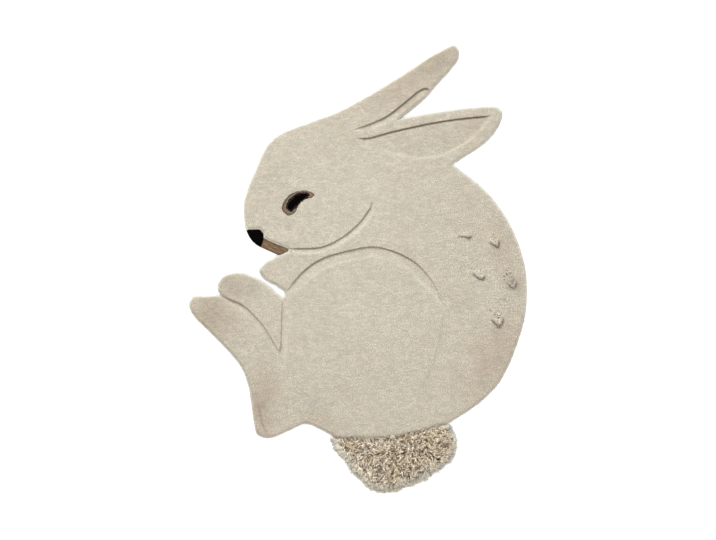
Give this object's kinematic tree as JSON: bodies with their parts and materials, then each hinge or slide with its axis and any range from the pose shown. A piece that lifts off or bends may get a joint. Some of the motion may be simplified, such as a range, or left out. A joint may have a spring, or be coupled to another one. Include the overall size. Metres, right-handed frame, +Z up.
{
  "type": "rabbit shaped kids rug",
  "caption": "Flat cut-pile floor rug in the outline of a curled-up rabbit, with carved lines, set-in nose, mouth and eye, and a raised shaggy tail.",
  "frame": {"origin": "on the floor under the middle of the rug's box", "axes": "+Z up from the floor to the pile, +Y along the rug from the shaggy tail to the ear tips, +X across it from the rabbit's feet to its back"},
  "size_m": [0.9, 1.1976, 0.0319],
  "materials": {
    "cream_pile": "matte cut pile",
    "black_pile": "matte cut pile",
    "brown_pile": "matte cut pile",
    "cream_shag": "matte long shag"
  },
  "bodies": {
    "root": {"body_pile": "cream_pile", "nose_pile": "black_pile", "mouth_pile": "brown_pile", "eye_rim_pile": "brown_pile", "eye_pupil_pile": "black_pile", "back_tuft_1": "cream_pile", "back_tuft_2": "cream_pile", "back_tuft_3": "cream_pile", "back_tuft_4": "cream_pile", "back_tuft_5": "cream_pile", "tail_shag": "cream_shag"}
  },
  "joints": []
}
